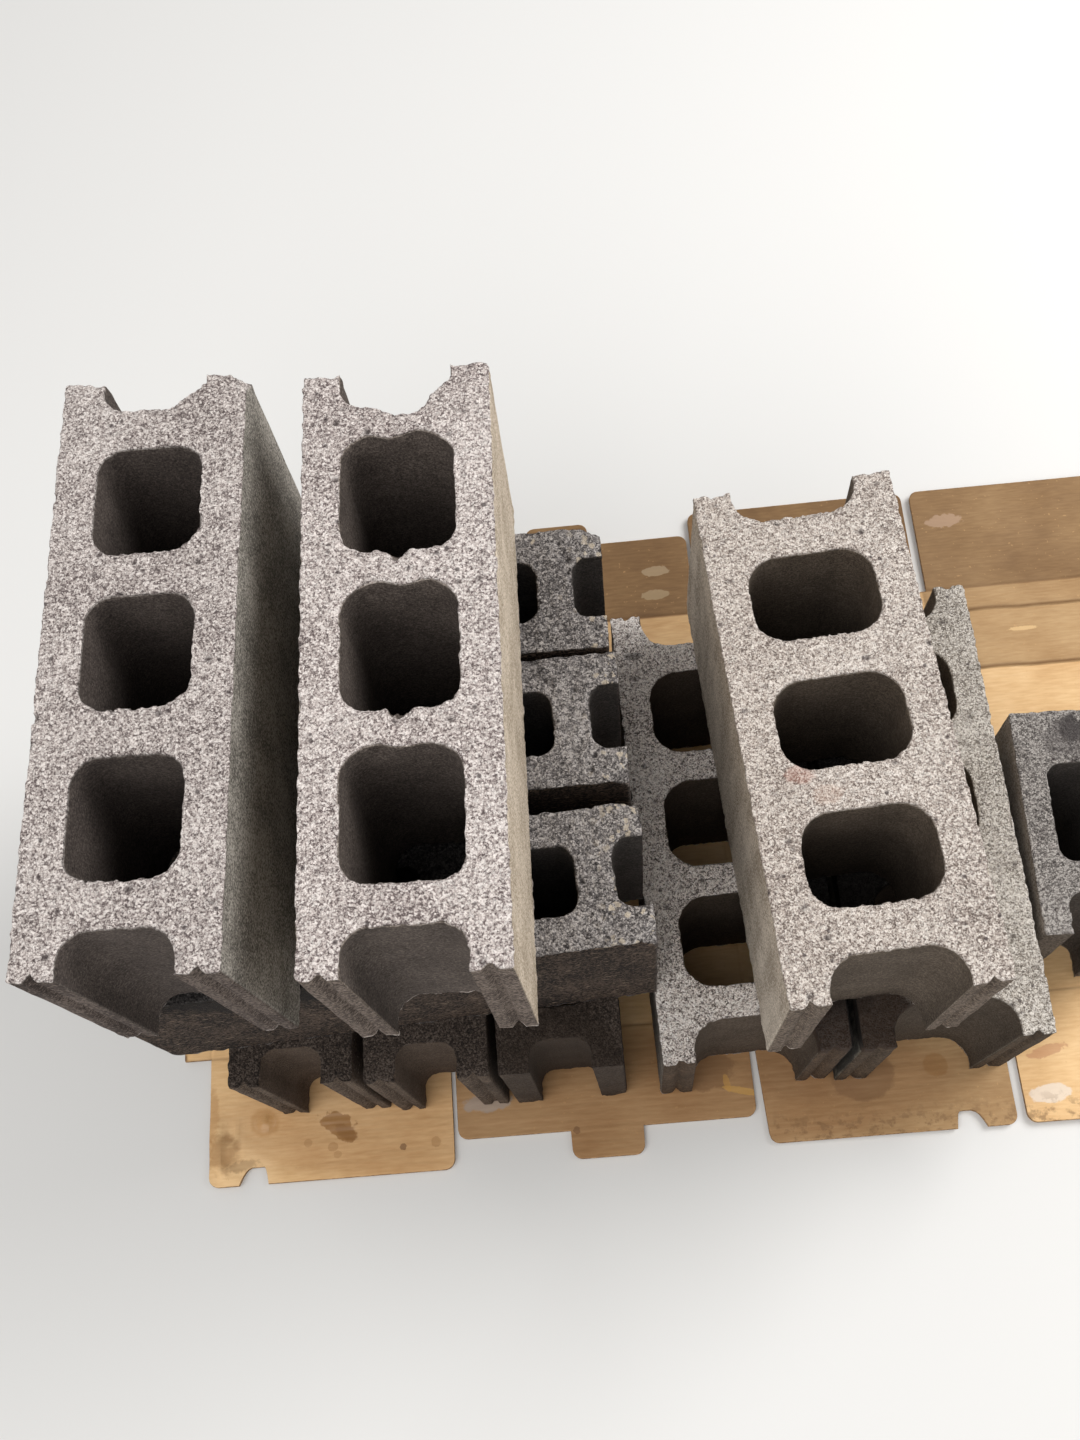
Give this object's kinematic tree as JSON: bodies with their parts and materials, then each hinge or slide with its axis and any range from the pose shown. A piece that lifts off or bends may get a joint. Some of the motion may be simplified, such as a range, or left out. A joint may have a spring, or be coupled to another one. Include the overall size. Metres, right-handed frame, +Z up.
{
  "type": "stack of hollow concrete blocks on a flattened carton",
  "caption": "Hollow concrete blocks stacked crosswise in tiers, to be kept or carried, on an opened and flattened corrugated carton.",
  "frame": {"origin": "on the floor, under the middle of the flattened carton, whose sheet holds every block's plan", "axes": "+Z up; +X to the picture's right, along the carton's four panels; -Y to the front, where the ends of the bottom blocks show"},
  "size_m": [1.033, 0.642, 0.574],
  "materials": {
    "concrete_warm_grey": "rough",
    "concrete_beige": "rough",
    "concrete_pale_grey": "rough",
    "concrete_mid_grey": "rough",
    "concrete_green_grey": "rough",
    "concrete_coarse_dark": "rough",
    "concrete_brown_grey": "rough",
    "concrete_blue_grey": "rough",
    "corrugated_board": "matte"
  },
  "bodies": {
    "root": {"top_block_left": "concrete_warm_grey", "top_block_right": "concrete_beige", "middle_block_front": "concrete_coarse_dark", "middle_block_centre": "concrete_coarse_dark", "middle_block_back": "concrete_coarse_dark", "middle_wide_block": "concrete_pale_grey", "bottom_block_left": "concrete_brown_grey", "bottom_block_centre": "concrete_brown_grey", "bottom_block_right": "concrete_brown_grey", "bottom_wide_block_left": "concrete_mid_grey", "bottom_wide_block_right": "concrete_green_grey", "bottom_half_block": "concrete_blue_grey", "flattened_carton": "corrugated_board"}
  },
  "joints": []
}
